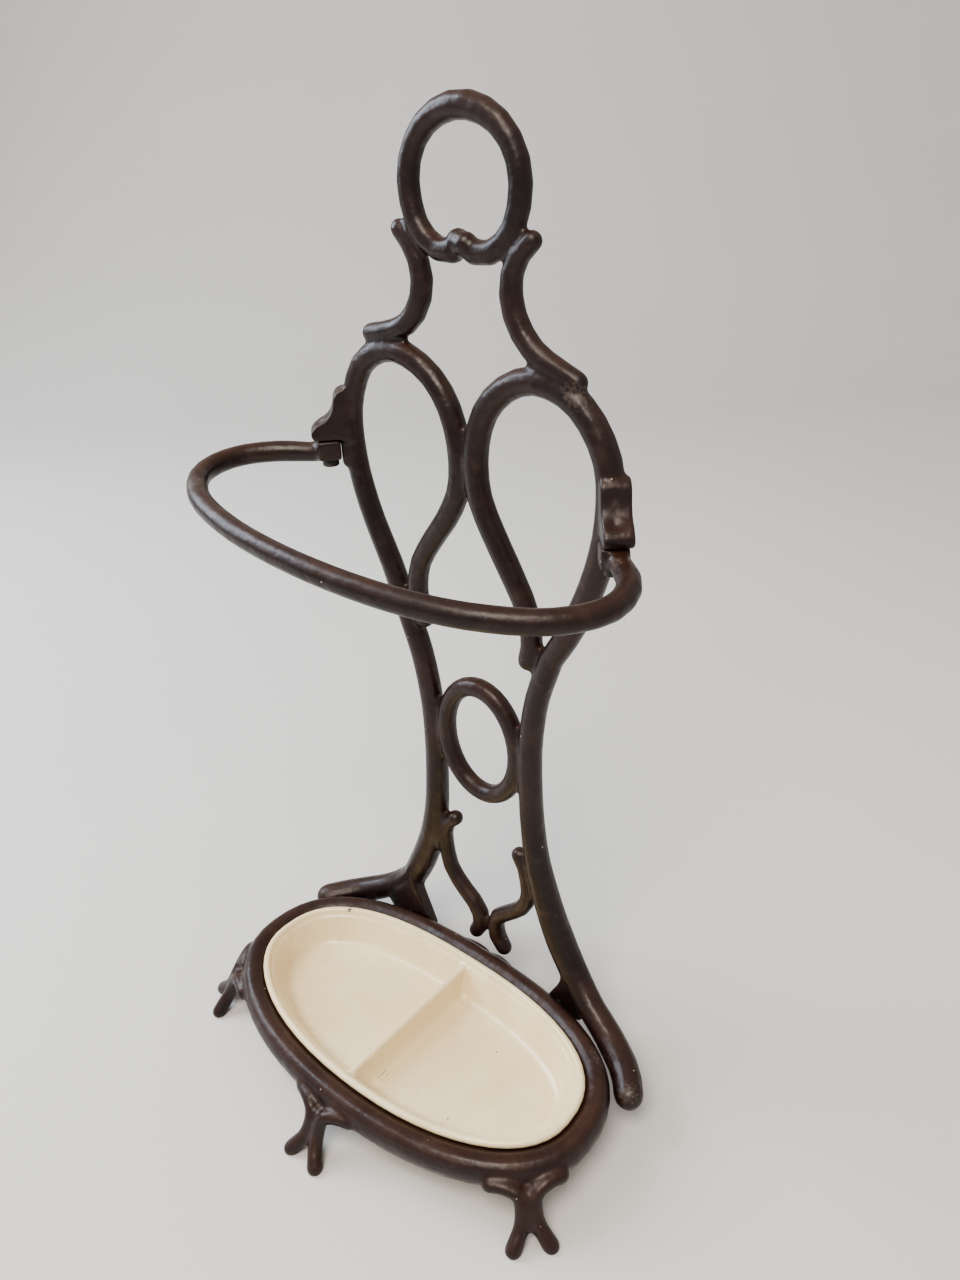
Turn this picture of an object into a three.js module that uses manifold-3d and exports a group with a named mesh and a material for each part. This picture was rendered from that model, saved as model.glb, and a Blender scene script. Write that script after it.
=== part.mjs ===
// Cast-iron umbrella stand in a bentwood pattern, with a lift-out enamelled drip tray.
// Millimetres, +Z up, the wall behind it on the +Y side, the origin on the floor under its middle.
import * as THREE from 'three';
import { mergeVertices } from 'three/addons/utils/BufferGeometryUtils.js';
import Module from 'manifold-3d';

const wasm = await Module();
wasm.setup();

// ---- driving dimensions ----
const GAP = 0.3; // clearance where two pieces meet
const OVAL_Y = 5.2; // middle of the base oval
const BACK_Y = OVAL_Y + 92.4; // plane of the back frame's rods, up to the loops
const LEAN_FROM_Z = 440; // above this the frame leans back a little
const LEAN = 0.017;
const OVAL_HALF_LENGTH = 142.5; // tray rim, along X
const OVAL_HALF_WIDTH = 69.6; // tray rim, along Y
const OVAL_POWER = { front: 2.12, rear: 2.5 }; // 2 is an ellipse, more is fuller in the corners
const OVAL_STEPS = 56;
const RIM_WIDTH = 16.8; // base ring, outwards from the tray rim
const RIM_TOP = 46;
const RIM_BOTTOM = 21;
const TRAY_TOP = 46.8;
const TRAY_FLOOR = 21.5;
const TRAY_WALL = 2;
const LEDGE_Z = 40.6; // the tray's rolled rim hangs on this ledge
const LEG_TOP_Z = 322; // where each leg ends and its loop begins
const RING_RADIUS = 7; // rod of the small centre ring
const RING_HALF = { width: 32.3, height: 43.8 };
const RING_MIDDLE = { x: -0.5, z: 235.6 };
const HOOP_RADIUS = 7.1;
const HOOP_TILT = -0.075; // the hoop falls to the right because its right lug is lower
const HOOP_RISE = 0.05; // and rises a little towards the wall
const LUG_Z = { left: 438.6, right: 419 }; // undersides of the hoop lugs
const LUG_REACH = new THREE.Vector2(0.66, -0.75); // outwards and forwards, for the right lug
const LUG_ROOT = 101; // x of the loop rod that carries the lug
const LUG_WIDTH = 17;
const BOLT_REACH = 17.5; // from the loop rod's centre to the hoop bolt
const BOLT_RADIUS = 3;
const BOLT_HEAD_RADIUS = 5.6;
const BOLT_HEAD_HEIGHT = 4.4;
const EYE_HEIGHT = 13; // flattened end of the hoop
const TOE_RADIUS = 5.8;
const FOOT_TURN = 26; // degrees from the oval's end to each side foot
const TAB_BACK_Y = OVAL_Y + 91; // a tab under each leg is bolted to the back of the base ring
const TAB_THICKNESS = 11;
const TAB_BOLT = { x: 76, z: 38 };
const TAB_EDGE = { left: [[66, 62], [54, 32]], right: [[74, 54], [62, 32]] }; // inner edge, downwards
const SIDES = { left: -1, right: 1 };

// ---- materials ----
const iron = new THREE.MeshStandardMaterial({ color: 0x3a2a27, roughness: 0.42, metalness: 0.15 });
const enamel = new THREE.MeshStandardMaterial({ color: 0xe9d9b8, roughness: 0.3, metalness: 0 });
const steel = new THREE.MeshStandardMaterial({ color: 0x2b2624, roughness: 0.5, metalness: 0.6 });

// ---- solids ----
function weld(geometry) {
  geometry.deleteAttribute('normal');
  geometry.deleteAttribute('uv');
  const welded = mergeVertices(geometry);
  const kept = [];
  const index = welded.index.array;
  for (let i = 0; i < index.length; i += 3) {
    const [a, b, c] = index.slice(i, i + 3);
    if (a !== b && b !== c && c !== a) kept.push(a, b, c);
  }
  welded.setIndex(kept);
  return welded;
}

function solid(geometry) {
  const welded = weld(geometry);
  const mesh = new wasm.Mesh({
    numProp: 3,
    vertProperties: new Float32Array(welded.attributes.position.array),
    triVerts: new Uint32Array(welded.index.array),
  });
  return new wasm.Manifold(mesh);
}

function join(first, ...others) {
  return others.reduce((whole, other) => whole.add(other), first);
}

function cut(first, ...others) {
  return others.reduce((whole, other) => whole.subtract(other), first);
}

function geometryOf(body) {
  const { vertProperties, triVerts } = body.getMesh();
  const geometry = new THREE.BufferGeometry();
  geometry.setAttribute('position', new THREE.BufferAttribute(new Float32Array(vertProperties), 3));
  geometry.setIndex(Array.from(triVerts));
  return geometry;
}

function box(size, centre) {
  return solid(new THREE.BoxGeometry(...size).translate(...centre));
}

function ball(radius, centre) {
  return solid(new THREE.SphereGeometry(radius, 16, 10).translate(...centre));
}

function post(radius, low, high, x, y, sides = 20) {
  const bar = new THREE.CylinderGeometry(radius, radius, high - low, sides);
  return solid(bar.rotateX(Math.PI / 2).translate(x, y, (low + high) / 2));
}

// ---- bent rods ----
function blend(stops, at) {
  const next = stops.findIndex(([place]) => place >= at);
  if (next <= 0) return next === 0 ? stops[0][1] : stops[stops.length - 1][1];
  const [[low, from], [high, to]] = [stops[next - 1], stops[next]];
  return from + ((to - from) * (at - low)) / (high - low);
}

function endMarks(radius, domed) {
  if (!domed) return [[0, 0], [0, radius]];
  return [0, 30, 60, 90].map((degrees) => {
    const angle = THREE.MathUtils.degToRad(degrees);
    return [radius * (1 - Math.cos(angle)), radius * Math.sin(angle)];
  });
}

// A bar is turned on a lathe with one ring of points at each mark, and then bent along the line.
// radii: [fraction of the length, radius] pairs. grow makes the tool that cuts a clearance.
function rod({ line, radii, flatStart = false, across = [0, 1, 0], sides = 10, step = 11 }, grow = 0) {
  const length = line.getLength();
  const thick = (distance) => blend(radii, distance / length) + grow;
  const first = endMarks(thick(0), !flatStart).map(([d, r]) => [d - grow, r]);
  const last = endMarks(thick(length), true).map(([d, r]) => [length + grow - d, r]).reverse();
  const from = first[first.length - 1][0];
  const span = last[0][0] - from;
  const count = Math.max(1, Math.round(span / step));
  const middle = [];
  for (let i = 1; i < count; i += 1) {
    const distance = from + (span * i) / count;
    middle.push([distance, thick(distance)]);
  }
  const marks = [...first, ...middle, ...last];
  const profile = marks.map(([, radius], i) => new THREE.Vector2(radius, i));
  const bar = new THREE.LatheGeometry(profile, sides);
  const reference = new THREE.Vector3(...across);
  const frames = marks.map(([distance]) => {
    const along = THREE.MathUtils.clamp(distance, 0, length);
    const tangent = line.getTangentAt(along / length);
    const centre = line.getPointAt(along / length).addScaledVector(tangent, distance - along);
    const side = tangent.clone().cross(reference).normalize();
    return { centre, side, up: side.clone().cross(tangent) };
  });
  const position = bar.attributes.position;
  for (let i = 0; i < position.count; i += 1) {
    const frame = frames[Math.round(position.getY(i))];
    const point = frame.centre.clone();
    point.addScaledVector(frame.side, position.getX(i)).addScaledVector(frame.up, position.getZ(i));
    position.setXYZ(i, point.x, point.y, point.z);
  }
  return solid(bar);
}

function smooth(points) {
  return new THREE.CatmullRomCurve3(points.map((p) => new THREE.Vector3(...p)), false, 'centripetal');
}

// ---- the back frame: [x, z] along each rod, x outwards from the middle, with an optional y forwards ----
// The pattern was carved by hand, so the loops and the scrolls of the two sides aren't quite alike.
function backLine(side, points) {
  const leanAt = (z) => LEAN * Math.max(0, z - LEAN_FROM_Z);
  return smooth(points.map(([x, z, ahead = 0]) => [side * x, BACK_Y + leanAt(z) - ahead, z]));
}

const TOP_RING = [
  [0.8, 560.6], [9, 559.3], [17, 559.4], [26, 563.5], [35, 573.5], [39.7, 594], [35.3, 610.8], [21.8, 624.7],
];
const RING_TIPS = [
  { radius: 6.9, x: -4.2, z: 564.6, ahead: -0.3 },
  { radius: 7, x: 2.4, z: 563.4, ahead: 1.6 },
];
const LEG = {
  left: [
    [63.6, LEG_TOP_Z], [52.3, 290], [46, 255], [44.6, 222], [45.8, 185], [49, 152], [54.5, 128],
    [61, 109],
    [69.5, 89], [80, 69.5], [92, 57], [106, 46, 3.5], [118.5, 39, 8], [131, 34.5, 15.5], [146.5, 32, 31],
    [157, 31, 45],
  ],
  right: [
    [60.4, LEG_TOP_Z], [49.6, 290], [43.8, 255], [42.8, 222], [44.2, 185], [48.2, 152],
    [54.5, 128], [60.5, 109],
    [68.5, 89], [79, 70.5, 1], [90.5, 58, 4], [103, 48.5, 8.5], [119, 40, 13.5], [133, 35.5, 20.5],
    [146.5, 32.5, 29.5], [162.5, 29.5, 49],
  ],
};
const LOOP = {
  left: [
    [63.7, LEG_TOP_Z + GAP], [74.9, 352], [92, 390.5], [100.8, 425], [100.8, 460], [86.5, 489.5], [61, 500],
    [35, 492], [18, 475], [9.2, 450], [10, 422], [20.5, 400.5], [35, 381], [48, 360.5], [52, 342],
    [50.5, 326],
    [44.7, 313],
  ],
  right: [
    [60.5, LEG_TOP_Z + GAP], [77, 351], [92.8, 390], [100.2, 425], [97.7, 460], [77.8, 487], [51, 495.5],
    [29.3, 488.7], [12.4, 472], [4.8, 447], [6.2, 420], [15.6, 399], [29.5, 375], [42, 351],
    [45.5, 330], [41, 309.5],
  ],
};
const LOOP_RADII = {
  left: [[0, 8.1], [0.15, 7.5], [0.33, 7.2], [0.43, 7.8], [0.55, 7.4], [0.75, 7.6], [0.88, 7.2], [1, 7.2]],
  right: [[0, 8.2], [0.3, 8.4], [0.5, 8.3], [0.65, 8], [0.82, 7.8], [0.92, 7.3], [1, 7.3]],
};
const NECK = {
  left: [
    [53, 572], [45.5, 567.5], [35.3, 554], [32.8, 540], [37, 527.2], [47, 516.5],
    [64, 510.5], [83.5, 507.5],
  ],
  right: [
    [52, 569.5], [43.5, 565], [34.8, 554], [32.4, 541], [36.3, 526], [48.1, 511.3],
    [65.3, 502.8], [83, 496],
  ],
};
const SCROLL = {
  left: [
    [24.3, 156], [33, 151], [40.3, 138], [40.5, 120], [36, 100], [24, 86], [11, 74], [7.5, 62],
    [11, 51], [18, 44],
  ],
  right: [
    [27, 153], [34, 147], [38.5, 132], [39.5, 112], [32, 97], [20, 86], [8.5, 74], [7.2, 62], [10.4, 50.8],
    [19.5, 42.5],
  ],
};

// The ring's two ends curl up and run into each other, the right one lapping in front.
function topRing(grow = 0) {
  const mirrored = TOP_RING.map(([x, z]) => [-x, z]).reverse();
  const line = backLine(1, [...TOP_RING, [0, 630.8], ...mirrored]);
  const half = [[0, 7], [0.14, 6.6], [0.35, 6.6], [0.5, 7.6]];
  const otherHalf = half.slice(0, -1).reverse().map(([at, radius]) => [1 - at, radius]);
  const bar = rod({ line, radii: [...half, ...otherHalf] }, grow);
  const tips = RING_TIPS.map(({ radius, x, z, ahead }) => {
    const y = BACK_Y + LEAN * (z - LEAN_FROM_Z) - ahead;
    return ball(radius + grow, [x, y, z]);
  });
  return join(bar, ...tips);
}

function neck(name) {
  const radii = [[0, 5.9], [0.12, 6.1], [0.35, 6.8], [0.6, 7], [1, 6.1]];
  return { line: backLine(SIDES[name], NECK[name]), radii };
}

function leg(name) {
  const radii = [
    [0, 8.1], [0.27, 8.4], [0.4, 8.9], [0.5, 9.8], [0.65, 11], [0.78, 10.1],
    [0.9, 10.7], [1, 10.4],
  ];
  return { line: backLine(SIDES[name], LEG[name]), radii, flatStart: true, sides: 12 };
}

function loop(name) {
  return { line: backLine(SIDES[name], LOOP[name]), radii: LOOP_RADII[name], flatStart: true };
}

function scroll(name) {
  const radii = [[0, 6.2], [0.15, 5.9], [0.6, 6.4], [0.85, 7], [1, 6.5]];
  return { line: backLine(SIDES[name], SCROLL[name]), radii };
}

// A turned ring pressed into an oval.
function centreRing() {
  const thickness = 0.2;
  const bar = new THREE.TorusGeometry(1, thickness, 10, 32);
  const position = bar.attributes.position;
  const scale = RING_RADIUS / thickness;
  for (let i = 0; i < position.count; i += 1) {
    const [across, up] = [position.getX(i), position.getY(i)];
    const angle = Math.atan2(up, across);
    const reach = (Math.hypot(across, up) - 1) * scale;
    const [c, s] = [Math.cos(angle), Math.sin(angle)];
    const normal = new THREE.Vector2(c / RING_HALF.width, s / RING_HALF.height).normalize();
    const x = RING_MIDDLE.x + RING_HALF.width * c + normal.x * reach;
    const z = RING_MIDDLE.z + RING_HALF.height * s + normal.y * reach;
    position.setXYZ(i, x, BACK_Y - position.getZ(i) * scale, z);
  }
  return solid(bar);
}

// ---- the hoop, its lugs and its bolts ----
function reachPoint(side, reach) {
  return [side * (LUG_ROOT + LUG_REACH.x * reach), BACK_Y + LUG_REACH.y * reach];
}

function turnedToLug(side, geometry, z) {
  const angle = Math.atan2(LUG_REACH.y, side * LUG_REACH.x);
  return geometry.rotateZ(angle).translate(side * LUG_ROOT, BACK_Y, z);
}

// The horn's outline is drawn along its reach, from the loop rod outwards, with its underside at 0.
// Its curved face is hollowed, which leaves a thin ridge on the inner side and a thick one on the outer side.
function lug(name) {
  const side = SIDES[name];
  const outline = new THREE.Shape();
  outline.moveTo(2, -19);
  outline.lineTo(8.2, -19);
  outline.lineTo(9.4, -17);
  outline.lineTo(9.4, 0);
  outline.lineTo(26, 0);
  outline.quadraticCurveTo(29.5, 3, 28, 6.5);
  outline.quadraticCurveTo(25, 11, 18.5, 13.5);
  outline.quadraticCurveTo(12.3, 17.5, 11.8, 26);
  outline.quadraticCurveTo(11, 32, 5, 33);
  outline.lineTo(2, 33);
  const depth = LUG_WIDTH;
  const plate = new THREE.ExtrudeGeometry(outline, { depth, bevelEnabled: false, curveSegments: 5 });
  plate.translate(0, 0, -depth / 2).rotateX(Math.PI / 2).translate(0, side * 1.4, 0);
  const inner = -side * 0.6;
  const hollow = smooth([[28, inner, 12], [21.5, inner, 16.2], [16, inner, 22], [15.2, inner, 30]]);
  const scoop = geometryOf(rod({ line: hollow, radii: [[0, 5.9], [1, 5.6]] }));
  const notch = new THREE.BoxGeometry(12, 10, 30).translate(6, -side * 9, -15.5);
  const tools = [scoop, notch].map((tool) => solid(turnedToLug(side, tool, LUG_Z[name])));
  return cut(solid(turnedToLug(side, plate, LUG_Z[name])), ...tools);
}

const HOOP = [
  [-111, 80], [-124, 73], [-146, 56], [-158, 33], [-153, 6], [-128, -16], [-80, -31], [-15, -36],
  [50, -30], [95, -16], [128, 6], [142, 33], [137, 57], [122, 72], [111, 80],
];

function hoopZ(x, y) {
  return 420.3 + HOOP_RISE * (y - 79.7) + HOOP_TILT * x;
}

function hoopRod() {
  const line = smooth(HOOP.map(([x, y]) => [x, OVAL_Y + y, hoopZ(x, y)]));
  const radii = [
    [0, 6], [0.06, HOOP_RADIUS], [0.25, 6.8], [0.5, 6.9], [0.75, 7.2],
    [0.94, HOOP_RADIUS], [1, 6],
  ];
  return { line, radii, across: [0, 0, 1] };
}

function hoopEye(name) {
  const block = new THREE.BoxGeometry(15, LUG_WIDTH - 1, EYE_HEIGHT);
  block.translate(BOLT_REACH, 0, -EYE_HEIGHT / 2);
  return solid(turnedToLug(SIDES[name], block, LUG_Z[name] - GAP));
}

function hoopBolt(name, grow = 0) {
  const [x, y] = reachPoint(SIDES[name], BOLT_REACH);
  const eyeBottom = LUG_Z[name] - GAP - EYE_HEIGHT;
  const headTop = eyeBottom - GAP;
  const shank = post(BOLT_RADIUS + grow, headTop - 1, LUG_Z[name] + 8 + grow, x, y, 16);
  const head = post(BOLT_HEAD_RADIUS + grow, headTop - BOLT_HEAD_HEIGHT - grow, headTop + grow, x, y, 16);
  return join(head, shank);
}

// ---- the base ----
// s is the distance outwards from the tray rim, square to the oval.
function ovalPoint(angle, s) {
  const power = Math.sin(angle) < 0 ? OVAL_POWER.front : OVAL_POWER.rear;
  const bend = (value) => Math.sign(value) * Math.abs(value) ** (2 / power);
  const c = bend(Math.cos(angle));
  const k = bend(Math.sin(angle));
  const slope = (value) => Math.sign(value) * Math.abs(value) ** (power - 1);
  const normal = new THREE.Vector2(slope(c) / OVAL_HALF_LENGTH, slope(k) / OVAL_HALF_WIDTH).normalize();
  const x = OVAL_HALF_LENGTH * c + normal.x * s;
  const y = OVAL_HALF_WIDTH * k + normal.y * s;
  return { x, y: OVAL_Y + y, normal };
}

// A lathed body whose circle is pressed into the oval. Points on the axis stay on the axis.
function ovalBody(profile) {
  const base = 200;
  const points = profile.map(([s, z]) => new THREE.Vector2(s === null ? 0 : base + s, z));
  const body = new THREE.LatheGeometry(points, OVAL_STEPS);
  const position = body.attributes.position;
  for (let i = 0; i < position.count; i += 1) {
    const [x, z, y] = [position.getX(i), position.getY(i), -position.getZ(i)];
    const radius = Math.hypot(x, y);
    if (radius < 1) {
      position.setXYZ(i, 0, OVAL_Y, z);
    } else {
      const place = ovalPoint(Math.atan2(y, x), radius - base);
      position.setXYZ(i, place.x, place.y, z);
    }
  }
  return solid(body);
}

function baseRing(grow = 0) {
  const crown = new THREE.SplineCurve([
    [0.8, 42.5], [8.5, RIM_TOP], [14.6, 42.5], [RIM_WIDTH, 35], [15, 26.5], [8.5, RIM_BOTTOM], [1.5, 24],
  ].map(([s, z]) => new THREE.Vector2(s + grow, z + grow * Math.sign(z - 35))));
  const around = crown.getPoints(9).map(({ x, y }) => [x, y]);
  const profile = [[0.8, LEDGE_Z], ...around, [-4.6, 35.5], [-4.6, LEDGE_Z], [0.8, LEDGE_Z]];
  return ovalBody(profile.reverse());
}

function trayShell() {
  const bead = 2.9;
  const rim = [-30, 20, 70, 120, 170, 210].map((degrees) => {
    const angle = THREE.MathUtils.degToRad(degrees);
    return [-bead + bead * Math.cos(angle), TRAY_TOP - bead + bead * Math.sin(angle)];
  });
  const foot = -19;
  const profile = [
    [null, TRAY_FLOOR - TRAY_WALL], [foot, TRAY_FLOOR - TRAY_WALL], [foot + 4, TRAY_FLOOR],
    [-5.4, LEDGE_Z - 1], [-4.4, LEDGE_Z + GAP], ...rim, [-8, TRAY_TOP - 5], [foot + 2, TRAY_FLOOR + 2],
    [foot - 2, TRAY_FLOOR], [null, TRAY_FLOOR],
  ];
  return ovalBody(profile);
}

function trayDivider() {
  const outline = new THREE.Shape();
  outline.moveTo(-7, TRAY_FLOOR - 1);
  outline.lineTo(7, TRAY_FLOOR - 1);
  outline.quadraticCurveTo(3.2, TRAY_FLOOR + 2.5, 2.3, TRAY_TOP - 5);
  outline.quadraticCurveTo(0, TRAY_TOP - 2.4, -2.3, TRAY_TOP - 5);
  outline.quadraticCurveTo(-3.2, TRAY_FLOOR + 2.5, -7, TRAY_FLOOR - 1);
  const depth = 2 * OVAL_HALF_WIDTH;
  const wall = new THREE.ExtrudeGeometry(outline, { depth, bevelEnabled: false, curveSegments: 4 });
  wall.translate(0, 0, -depth / 2).rotateX(Math.PI / 2).translate(0, OVAL_Y, 0);
  const low = TRAY_FLOOR - 1.5;
  const high = TRAY_TOP - 2.5;
  const inside = ovalBody([[null, low], [-18, low], [-7, high - 2.8], [-5, high], [null, high]]);
  return solid(wall).intersect(inside);
}

// ---- the tabs that tie the legs to the base ring ----
function legTab(name) {
  const [top, bottom] = TAB_EDGE[name];
  const root = [top[0] + 6, top[1] + 16];
  const outline = new THREE.Shape();
  outline.moveTo(...root);
  outline.quadraticCurveTo(82, 60, 104, 45);
  outline.lineTo(94, 31);
  outline.lineTo(...bottom);
  outline.lineTo(...top);
  outline.lineTo(...root);
  const depth = TAB_THICKNESS;
  const plate = new THREE.ExtrudeGeometry(outline, { depth, bevelEnabled: false, curveSegments: 5 });
  plate.rotateX(Math.PI / 2).translate(0, TAB_BACK_Y, 0);
  const body = solid(plate);
  return SIDES[name] < 0 ? body.mirror([1, 0, 0]) : body;
}

function tabBolt(side, grow = 0) {
  const bar = (radius, back, front) => {
    const cylinder = new THREE.CylinderGeometry(radius + grow, radius + grow, back - front + 2 * grow, 16);
    return solid(cylinder.translate(side * TAB_BOLT.x, (back + front) / 2, TAB_BOLT.z));
  };
  const head = bar(5, TAB_BACK_Y + GAP + 3.6, TAB_BACK_Y + GAP);
  return join(head, bar(2.8, TAB_BACK_Y + 1, TAB_BACK_Y - 20));
}

// ---- the feet: two crossed rods each, [along the rim, outwards from the rim, z] ----
const FOOT_ROD = [
  [28, -5, 31], [17, -0.5, 33.5], [5.6, 5.2, 30], [4.2, 10.5, 19.5], [6, 15.5, 11],
  [11, 21.5, 3.5], [14, 25, -3],
];

const FOOT_CROSSING = [0, 3.8, 27.5];

function footRods(angle, reach) {
  const { x, y, normal } = ovalPoint(angle, RIM_WIDTH);
  const place = (side, [t, o, z]) => {
    const out = o * reach;
    return [x + normal.x * out - normal.y * t * side, y + normal.y * out + normal.x * t * side, z];
  };
  const rods = [-1, 1].map((side) => ({
    line: smooth(FOOT_ROD.map((point) => place(side, point))),
    radii: [[0, 5.6], [0.3, 5], [0.6, 4.9], [1, TOE_RADIUS]],
    across: [normal.x, normal.y, 0],
    step: 6,
  }));
  return { rods, crossing: place(0, FOOT_CROSSING) };
}

const FLOOR_CUT = box([600, 600, 40], [0, 0, -20]);

function foot(angle, reach = 1, grow = 0) {
  const { rods, crossing } = footRods(angle, reach);
  const web = ball(5.4 + grow, crossing);
  return cut(join(web, ...rods.map((spec) => rod(spec, grow))), FLOOR_CUT);
}

const turn = THREE.MathUtils.degToRad(FOOT_TURN);
const FEET = {
  foot_left: [Math.PI + turn, 1],
  foot_front: [-Math.PI / 2 - 0.007, 1],
  foot_right: [-turn, 1],
  foot_rear: [Math.PI / 2, 0.55],
};

// ---- assembly ----
const object = new THREE.Group();

function place(name, body, material) {
  const mesh = new THREE.Mesh(geometryOf(body), material);
  mesh.name = name;
  object.add(mesh);
}

const ringTool = topRing(GAP);
const baseTool = baseRing(GAP);
const legTools = [];
const boltTools = [];
place('top_ring', topRing(), iron);
for (const name of Object.keys(SIDES)) {
  const legTool = rod(leg(name), GAP);
  const loopTool = rod(loop(name), GAP);
  legTools.push(legTool);
  place(`leg_${name}`, rod(leg(name)), iron);
  const neighbours = name === 'left' ? [legTool, rod(loop('right'), GAP)] : [legTool];
  place(`loop_${name}`, cut(rod(loop(name)), ...neighbours), iron);
  place(`neck_scroll_${name}`, cut(rod(neck(name)), ringTool, loopTool), iron);
  place(`lower_scroll_${name}`, cut(rod(scroll(name)), legTool), iron);
  place(`hoop_lug_${name}`, cut(lug(name), loopTool, hoopBolt(name, GAP)), iron);
  place(`hoop_bolt_${name}`, hoopBolt(name), steel);
  const boltTool = tabBolt(SIDES[name], GAP);
  boltTools.push(boltTool);
  place(`leg_tab_${name}`, cut(legTab(name), legTool, baseTool, boltTool), iron);
  place(`tab_bolt_${name}`, tabBolt(SIDES[name]), steel);
}
place('centre_ring', cut(centreRing(), ...legTools), iron);

const hoop = join(rod(hoopRod()), hoopEye('left'), hoopEye('right'));
place('umbrella_hoop', cut(hoop, hoopBolt('left', GAP), hoopBolt('right', GAP)), iron);

const footTools = Object.values(FEET).map(([angle, reach]) => foot(angle, reach, GAP));
place('base_ring', cut(baseRing(), ...legTools, ...footTools, ...boltTools), iron);
for (const [name, [angle, reach]] of Object.entries(FEET)) place(name, foot(angle, reach), iron);
place('drip_tray', join(trayShell(), trayDivider()), enamel);

export default object;
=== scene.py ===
"""Looks of the cast-iron umbrella stand: one painted casting for the back, one for the base, the hoop with
its bolts, and the enamelled drip tray. Metres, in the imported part's own frame."""
import math

import bmesh
import bpy
import numpy as np
from mathutils import Matrix, Vector


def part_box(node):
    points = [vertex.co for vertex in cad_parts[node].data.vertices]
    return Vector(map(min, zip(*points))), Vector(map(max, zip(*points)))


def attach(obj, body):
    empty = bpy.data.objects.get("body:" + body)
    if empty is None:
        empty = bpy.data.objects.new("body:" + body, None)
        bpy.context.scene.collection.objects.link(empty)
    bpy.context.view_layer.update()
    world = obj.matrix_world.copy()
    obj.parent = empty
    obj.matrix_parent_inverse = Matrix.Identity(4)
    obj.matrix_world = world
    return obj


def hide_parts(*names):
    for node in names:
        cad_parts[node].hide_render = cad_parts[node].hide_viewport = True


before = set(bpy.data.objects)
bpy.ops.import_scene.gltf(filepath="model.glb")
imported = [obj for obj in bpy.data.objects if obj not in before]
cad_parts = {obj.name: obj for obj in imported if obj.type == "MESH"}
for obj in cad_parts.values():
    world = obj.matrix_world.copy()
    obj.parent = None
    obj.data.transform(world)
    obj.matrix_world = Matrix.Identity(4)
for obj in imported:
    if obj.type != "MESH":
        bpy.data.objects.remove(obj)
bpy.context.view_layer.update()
MM = 0.001

# ---- driving values ----
CAMERA_AT = Vector((0.3810, -0.3375, 0.6329))
CAMERA_YAW = 0.7165
CAMERA_PITCH = 0.4999
CAMERA_ROLL = -0.0398
CAMERA_LENS = 27.87
SENSOR = 36.0
SWELL = 0.2 * MM  # closes the clearances between the CAD nodes of one casting
CASTING_VOXEL = 0.9 * MM
HOOP_VOXEL = 1.0 * MM
BOLT_VOXEL = 0.45 * MM
TRAY_VOXEL = 0.7 * MM
SIDES = ("left", "right")
BACK_RODS = ("neck_scroll", "loop", "leg", "lower_scroll", "leg_tab", "hoop_lug")
FEET = ("foot_left", "foot_front", "foot_right", "foot_rear")

# Lighter worn patches with bare chips: (x, y, z, radius), in millimetres. The one on the outer bend of the
# hoop is a painted highlight as well as wear.
IRON_WEAR_AND_HIGHLIGHT = [
    # painted highlight as well as wear
    (-134, -9, 428, 11),  # outer bend of the hoop
    (121, 70, 412, 7),  # right end of the hoop
    (82, 90, 494, 9),  # where the right neck scroll lands on its loop
    (130, 60, 40, 9),  # base ring beside the right leg
    (158, 52, 38, 8),  # end of the right leg
    (2, 85, 565, 6),  # meeting ends of the top ring
]
ENAMEL_CHIPS = [
    (-112, 51, 46, 1.9),
    (-94, 57, 46, 1.1),
    (9, 51, 24, 2.2),
    (96, -48, 46, 1.0),
]
SCRATCH = {"at": (8, -33, 23), "length": 9, "spacing": 2.6, "width": 0.35}


# ---- meshes ----
def add_modifier(piece, kind, **settings):
    modifier = piece.modifiers.new(kind.title(), kind)
    for key, value in settings.items():
        setattr(modifier, key, value)


def relax(mesh, rounds):
    """Laplacian smoothing: each round moves every point halfway to the mean of its neighbours."""
    count = len(mesh.vertices)
    points = np.empty(count * 3)
    mesh.vertices.foreach_get("co", points)
    points = points.reshape(-1, 3)
    edges = np.empty(len(mesh.edges) * 2, dtype=np.int64)
    mesh.edges.foreach_get("vertices", edges)
    start, end = edges.reshape(-1, 2).T
    ends = np.concatenate([start, end])
    others = np.concatenate([end, start])
    degree = np.bincount(ends, minlength=count)[:, None]
    for _ in range(rounds):
        sums = [np.bincount(ends, weights=points[others, axis], minlength=count) for axis in range(3)]
        points = (points + np.stack(sums, axis=1) / degree) / 2
    mesh.vertices.foreach_set("co", points.ravel())
    mesh.update()


def keep_inside(mesh, nodes):
    """Holds every point inside the box of the CAD nodes the mesh stands for."""
    corners = [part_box(node) for node in nodes]
    low = np.min([list(lo) for lo, _ in corners], axis=0)
    high = np.max([list(hi) for _, hi in corners], axis=0)
    points = np.empty(len(mesh.vertices) * 3)
    mesh.vertices.foreach_get("co", points)
    mesh.vertices.foreach_set("co", np.clip(points.reshape(-1, 3), low, high).ravel())
    mesh.update()


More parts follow.
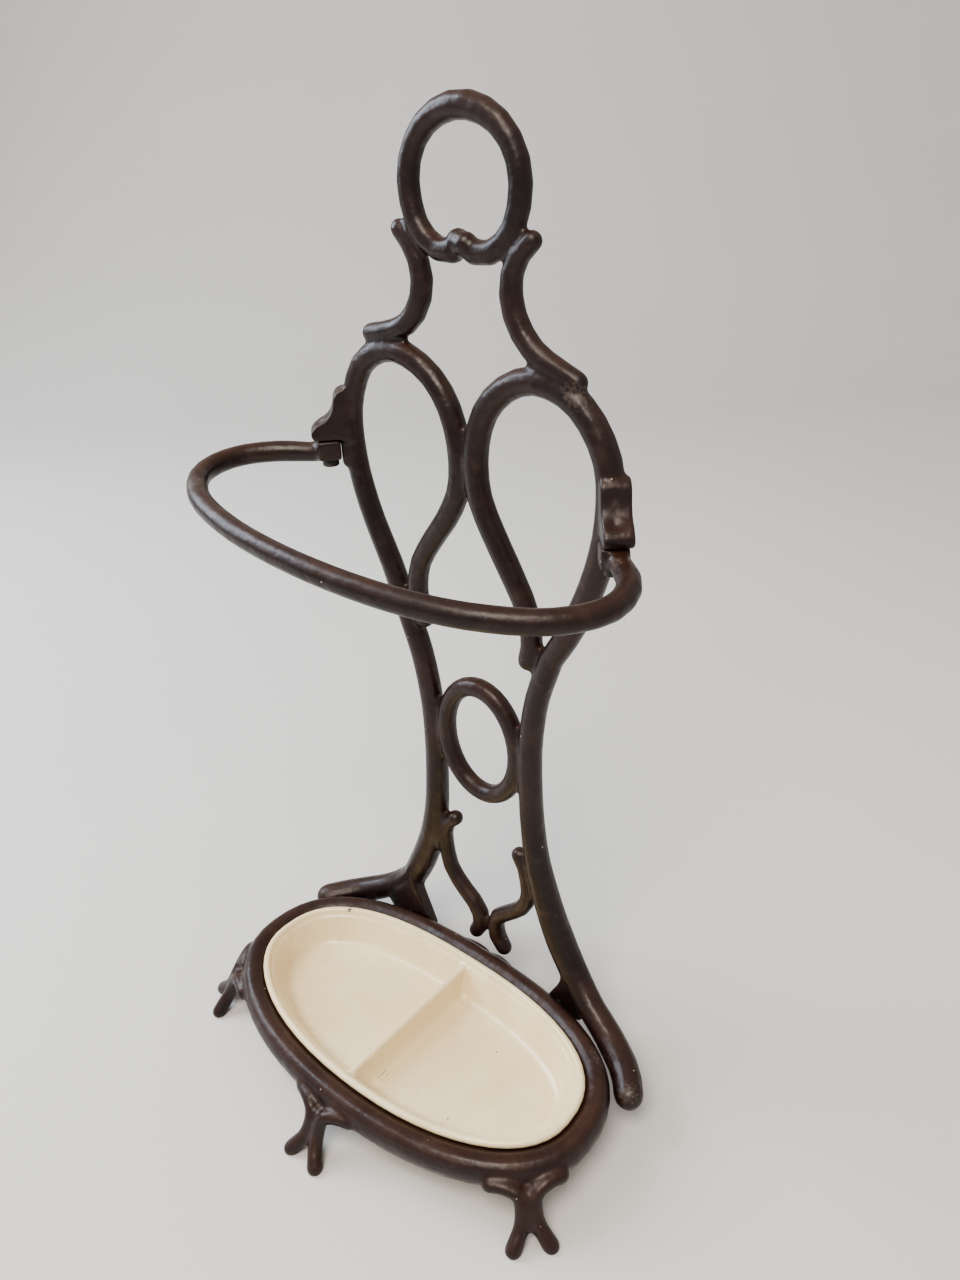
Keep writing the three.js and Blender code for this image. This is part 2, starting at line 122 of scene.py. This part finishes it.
def cast(name, nodes, voxel, fillet, rounds, gain, body):
    """One piece from CAD nodes: swollen until they merge, filled in at the inner corners and smoothed.
    fillet is the radius of the inner corners. gain makes up for what the smoothing takes off."""
    shell = bmesh.new()
    for node in nodes:
        shell.from_mesh(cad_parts[node].data)
    bmesh.ops.remove_doubles(shell, verts=shell.verts, dist=1e-6)
    mesh = bpy.data.meshes.new(name)
    shell.to_mesh(mesh)
    shell.free()
    piece = bpy.data.objects.new(name, mesh)
    bpy.context.scene.collection.objects.link(piece)
    add_modifier(piece, "DISPLACE", strength=SWELL, mid_level=0)
    add_modifier(piece, "REMESH", mode="VOXEL", voxel_size=voxel)
    add_modifier(piece, "DISPLACE", strength=fillet, mid_level=0)
    add_modifier(piece, "REMESH", mode="VOXEL", voxel_size=voxel)
    add_modifier(piece, "DISPLACE", strength=gain - fillet - SWELL, mid_level=0)
    evaluated = piece.evaluated_get(bpy.context.evaluated_depsgraph_get())
    piece.data = bpy.data.meshes.new_from_object(evaluated)
    piece.data.name = name
    piece.modifiers.clear()
    relax(piece.data, rounds)
    keep_inside(piece.data, nodes)
    piece.data.shade_smooth()
    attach(piece, body)
    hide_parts(*nodes)
    return piece


# ---- materials ----
class Nodes:
    """A short way to write a material's node tree."""

    def __init__(self, name):
        self.material = bpy.data.materials.new(name)
        self.material.use_nodes = True
        self.tree = self.material.node_tree
        self.shader = self.tree.nodes["Principled BSDF"]
        self.place = self.add("ShaderNodeTexCoord").outputs["Object"]

    def add(self, kind, links=None, **values):
        node = self.tree.nodes.new(kind)
        for key, value in values.items():
            if key in node.inputs:
                node.inputs[key].default_value = value
            else:
                setattr(node, key, value)
        for key, source in (links or {}).items():
            self.tree.links.new(source, node.inputs[key])
        return node

    def noise(self, scale, detail=3.0, roughness=0.55):
        values = {"Scale": scale, "Detail": detail, "Roughness": roughness}
        return self.add("ShaderNodeTexNoise", {"Vector": self.place}, **values).outputs["Fac"]

    def ramp(self, factor, low, high, out_low=0.0, out_high=1.0):
        node = self.add("ShaderNodeMapRange", {"Value": factor})
        limits = {"From Min": low, "From Max": high, "To Min": out_low, "To Max": out_high}
        for key, value in limits.items():
            node.inputs[key].default_value = value
        return node.outputs["Result"]

    def maths(self, operation, first, second):
        node = self.add("ShaderNodeMath", operation=operation)
        for socket, value in zip(node.inputs, (first, second)):
            if isinstance(value, (int, float)):
                socket.default_value = value
            else:
                self.tree.links.new(value, socket)
        return node.outputs["Value"]

    def mix(self, factor, first, second):
        node = self.add("ShaderNodeMix", data_type="RGBA")
        self.tree.links.new(factor, node.inputs["Factor"])
        for key, value in (("A", first), ("B", second)):
            socket = [s for s in node.inputs if s.name == key and s.type == "RGBA"][0]
            if isinstance(value, tuple):
                socket.default_value = (*value, 1)
            else:
                self.tree.links.new(value, socket)
        return [s for s in node.outputs if s.type == "RGBA"][0]

    def specks(self, scale, size, share):
        """Small round marks: 1 inside them. share is how many of the cells have one."""
        cells = self.add("ShaderNodeTexVoronoi", {"Vector": self.place}, Scale=scale, Randomness=1.0)
        chosen = self.add("ShaderNodeSeparateColor", {"Color": cells.outputs["Color"]}).outputs["Red"]
        inside = self.ramp(cells.outputs["Distance"], size, size * 0.6)
        return self.maths("MULTIPLY", inside, self.maths("LESS_THAN", chosen, share))

    def near(self, spots, ragged):
        """1 inside any of the spots, with edges broken up by noise. ragged is the noise scale."""
        noise = self.ramp(self.noise(ragged, 4, 0.7), 0.35, 0.65, -0.55, 0.55)
        whole = None
        for x, y, z, radius in spots:
            offset = self.add("ShaderNodeVectorMath", {0: self.place}, operation="DISTANCE")
            offset.inputs[1].default_value = (x * MM, y * MM, z * MM)
            ratio = self.maths("DIVIDE", offset.outputs["Value"], radius * MM)
            inside = self.ramp(self.maths("ADD", ratio, noise), 0.9, 0.6)
            whole = inside if whole is None else self.maths("MAXIMUM", whole, inside)
        return whole

    def upness(self):
        normal = self.add("ShaderNodeNewGeometry").outputs["Normal"]
        return self.add("ShaderNodeSeparateXYZ", {"Vector": normal}).outputs["Z"]

    def bump(self, *layers):
        """layers: (height socket, strength in metres)."""
        normal = None
        for height, distance in layers:
            links = {"Height": height}
            if normal is not None:
                links["Normal"] = normal
            normal = self.add("ShaderNodeBump", links, Distance=distance, Strength=1.0).outputs["Normal"]
        self.tree.links.new(normal, self.shader.inputs["Normal"])

    def set(self, **links):
        for key, value in links.items():
            socket = self.shader.inputs[key.replace("_", " ")]
            if hasattr(value, "is_linked"):
                self.tree.links.new(value, socket)
            else:
                socket.default_value = value


def painted_iron():
    """Old dark brown paint on a sand casting: uneven gloss, soft lumps, dust on top, small pale chips and
    lighter worn patches, one of them also a painted highlight.
    """
    m = Nodes("painted_iron")
    lumps = m.noise(55, 3)
    blotches = m.noise(18, 4)
    grain = m.noise(900, 2)
    brown = m.mix(m.ramp(blotches, 0.35, 0.68), (0.012, 0.0054, 0.0050), (0.026, 0.0110, 0.0085))
    brown = m.mix(m.ramp(m.noise(95, 5, 0.7), 0.52, 0.72, 0.0, 0.6), brown, (0.050, 0.026, 0.020))
    brown = m.mix(m.ramp(m.noise(65, 5, 0.7), 0.54, 0.7, 0.0, 0.7), brown, (0.007, 0.0045, 0.0048))
    dusty = m.maths("MULTIPLY", m.ramp(m.upness(), 0.3, 1.0), m.ramp(m.noise(30, 5), 0.3, 0.75, 0.15, 0.7))
    brown = m.mix(dusty, brown, (0.07, 0.03, 0.0165))
    chips = m.maths("MAXIMUM", m.specks(75, 0.06, 0.12), m.specks(190, 0.12, 0.05))
    # Lighter patches at the listed spots: wear, and on the outer bend of the hoop a painted highlight as
    # well.
    worn = m.near(IRON_WEAR_AND_HIGHLIGHT, 420)
    brown = m.mix(m.maths("MULTIPLY", worn, 0.4), brown, (0.1, 0.075, 0.062))
    bare = m.maths("MULTIPLY", worn, m.ramp(m.noise(900, 3), 0.62, 0.68, 0.0, 0.45))
    chips = m.maths("MAXIMUM", chips, bare)
    colour = m.mix(chips, brown, (0.42, 0.33, 0.26))
    gloss = m.ramp(m.noise(45, 5, 0.65), 0.32, 0.68, 0.26, 0.44)
    gloss = m.maths("ADD", gloss, m.maths("MULTIPLY", dusty, 0.1))
    m.set(Base_Color=colour, Roughness=gloss, Specular_IOR_Level=0.4)
    m.bump((lumps, 0.0012), (m.noise(140, 2), 0.0001), (grain, 0.00003), (chips, -0.0002))
    return m.material


def scratches(m):
    """Two short parallel lines along Y, as left by a ferrule."""
    x, y, z = (value * MM for value in SCRATCH["at"])
    axes = m.add("ShaderNodeSeparateXYZ", {"Vector": m.place}).outputs
    sideways = m.maths("ABSOLUTE", m.maths("SUBTRACT", axes["X"], x), 0)
    off_line = m.maths("ABSOLUTE", m.maths("SUBTRACT", sideways, SCRATCH["spacing"] / 2 * MM), 0)
    off_middle = m.maths("ABSOLUTE", m.maths("SUBTRACT", axes["Y"], y), 0)
    on_line = m.maths("LESS_THAN", off_line, SCRATCH["width"] / 2 * MM)
    in_reach = m.maths("LESS_THAN", off_middle, SCRATCH["length"] / 2 * MM)
    upward = m.maths("GREATER_THAN", axes["Z"], z - 3 * MM)
    broken = m.ramp(m.noise(700, 3), 0.42, 0.5)
    return m.maths("MULTIPLY", m.maths("MULTIPLY", on_line, in_reach), m.maths("MULTIPLY", upward, broken))


def cream_enamel():
    """Thick glossy enamel, a little rippled, with rusty stains, pinholes and worn marks."""
    m = Nodes("cream_enamel")
    ripple = m.noise(26, 2)
    cream = m.mix(m.ramp(m.noise(9, 3), 0.35, 0.7), (0.85, 0.67, 0.40), (0.92, 0.79, 0.53))
    steep = m.ramp(m.upness(), 0.99, 0.6, 0.3, 0.5)
    stain = m.maths("MULTIPLY", m.ramp(m.noise(22, 6, 0.7), 0.5, 0.76), steep)
    cream = m.mix(stain, cream, (0.66, 0.44, 0.22))
    pinholes = m.maths("MAXIMUM", m.specks(120, 0.09, 0.05), m.specks(45, 0.035, 0.12))
    marks = m.maths("MAXIMUM", pinholes, m.near(ENAMEL_CHIPS, 900))
    marks = m.maths("MAXIMUM", marks, scratches(m))
    colour = m.mix(marks, cream, (0.16, 0.11, 0.08))
    m.set(Base_Color=colour, Roughness=m.ramp(m.noise(60, 3), 0.3, 0.7, 0.2, 0.33))
    m.set(Coat_Weight=0.35, Coat_Roughness=0.12)
    m.bump((ripple, 0.0012), (m.noise(130, 3), 0.00006), (marks, -0.0002))
    return m.material


def worn_steel():
    """Bolt heads: dark paint worn to bare metal in places."""
    m = Nodes("worn_steel")
    worn = m.ramp(m.noise(400, 4), 0.52, 0.68)
    m.set(Base_Color=m.mix(worn, (0.018, 0.014, 0.013), (0.1, 0.085, 0.075)))
    m.set(Metallic=m.ramp(worn, 0, 1, 0.1, 0.7), Roughness=m.ramp(worn, 0, 1, 0.5, 0.33))
    m.bump((m.noise(500, 3), 0.0002))
    return m.material


IRON = painted_iron()
ENAMEL = cream_enamel()
STEEL = worn_steel()


# ---- the pieces ----
def build_stand():
    rods = ["top_ring", "centre_ring"] + [f"{rod}_{side}" for rod in BACK_RODS for side in SIDES]
    base_nodes = ["base_ring", *FEET]
    back = cast("back_casting", rods, CASTING_VOXEL, 0.9 * MM, 12, 0.2 * MM, "stand")
    base = cast("base_casting", base_nodes, CASTING_VOXEL, 0.9 * MM, 12, 0.16 * MM, "stand")
    hoop = cast("hoop", ["umbrella_hoop"], HOOP_VOXEL, 1.2 * MM, 16, 0.28 * MM, "stand")
    for piece in (back, base, hoop):
        piece.data.materials.append(IRON)
    for bolt in [f"{kind}_{side}" for kind in ("hoop_bolt", "tab_bolt") for side in SIDES]:
        piece = cast(f"{bolt}_worn", [bolt], BOLT_VOXEL, 0.5 * MM, 5, 0.05 * MM, "stand")
        piece.data.materials.append(STEEL)


def build_tray():
    tray = cast("enamel_tray", ["drip_tray"], TRAY_VOXEL, 1.2 * MM, 10, 0.1 * MM, "tray")
    tray.data.materials.append(ENAMEL)


# ---- the studio ----
def stage_material():
    m = Nodes("pale_floor")
    colour = m.mix(m.noise(3, 2), (0.66, 0.64, 0.61), (0.7, 0.675, 0.645))
    m.set(Base_Color=colour, Roughness=0.7)
    return m.material


def build_floor():
    """A floor that sweeps up into a backdrop."""
    width, front, back, height, bend = 8.0, -4.0, 2.6, 4.0, 0.9
    steps = 12
    profile = [(front, 0.0), (back - bend, 0.0)]
    for step in range(1, steps + 1):
        angle = math.pi / 2 * step / steps
        profile.append((back - bend + bend * math.sin(angle), bend - bend * math.cos(angle)))
    profile.append((back, height))
    sweep = bmesh.new()
    rows = [[sweep.verts.new((x, y, z)) for x in (-width / 2, width / 2)] for y, z in profile]
    for (a, b), (c, d) in zip(rows, rows[1:]):
        sweep.faces.new((a, b, d, c))
    mesh = bpy.data.meshes.new("floor")
    sweep.to_mesh(mesh)
    sweep.free()
    mesh.shade_smooth()
    floor = bpy.data.objects.new("floor", mesh)
    floor.rotation_euler.z = CAMERA_YAW
    mesh.materials.append(stage_material())
    bpy.context.scene.collection.objects.link(floor)


def area_light(name, at, target, size, power, colour):
    lamp = bpy.data.lights.new(name, "AREA")
    lamp.shape = "RECTANGLE"
    lamp.size, lamp.size_y = size
    lamp.energy = power
    lamp.color = colour
    light = bpy.data.objects.new(name, lamp)
    light.location = at
    light.rotation_euler = (Vector(target) - Vector(at)).to_track_quat("-Z", "Y").to_euler()
    bpy.context.scene.collection.objects.link(light)


def build_lights():
    area_light("window", (-1.7, -0.5, 1.5), (0, 0, 0.3), (1.1, 1.7), 50, (0.76, 0.87, 1.0))
    area_light("lamp", (0.5, -1.1, 2.3), (0, 0, 0.1), (1.2, 1.2), 50, (1.0, 0.91, 0.8))
    world = bpy.data.worlds.new("soft_room")
    world.use_nodes = True
    background = world.node_tree.nodes["Background"]
    background.inputs["Color"].default_value = (0.9, 0.9, 0.9, 1)
    background.inputs["Strength"].default_value = 0.62
    bpy.context.scene.world = world


def build_camera():
    sin_yaw, cos_yaw = math.sin(CAMERA_YAW), math.cos(CAMERA_YAW)
    flat = math.cos(CAMERA_PITCH)
    ahead = Vector((-sin_yaw * flat, cos_yaw * flat, -math.sin(CAMERA_PITCH)))
    level = Vector((cos_yaw, sin_yaw, 0))
    upright = level.cross(ahead)
    c, s = math.cos(CAMERA_ROLL), math.sin(CAMERA_ROLL)
    right = c * level + s * upright
    up = c * upright - s * level
    data = bpy.data.cameras.new("camera")
    data.lens = CAMERA_LENS
    data.sensor_width = SENSOR
    camera = bpy.data.objects.new("camera", data)
    axes = Matrix((right, up, -ahead)).transposed()
    camera.matrix_world = Matrix.Translation(CAMERA_AT) @ axes.to_4x4()
    bpy.context.scene.collection.objects.link(camera)
    bpy.context.scene.camera = camera


build_stand()
build_tray()
build_floor()
build_lights()
build_camera()
bpy.context.scene.view_settings.view_transform = "AgX"
bpy.context.scene.view_settings.look = "AgX - Medium High Contrast"
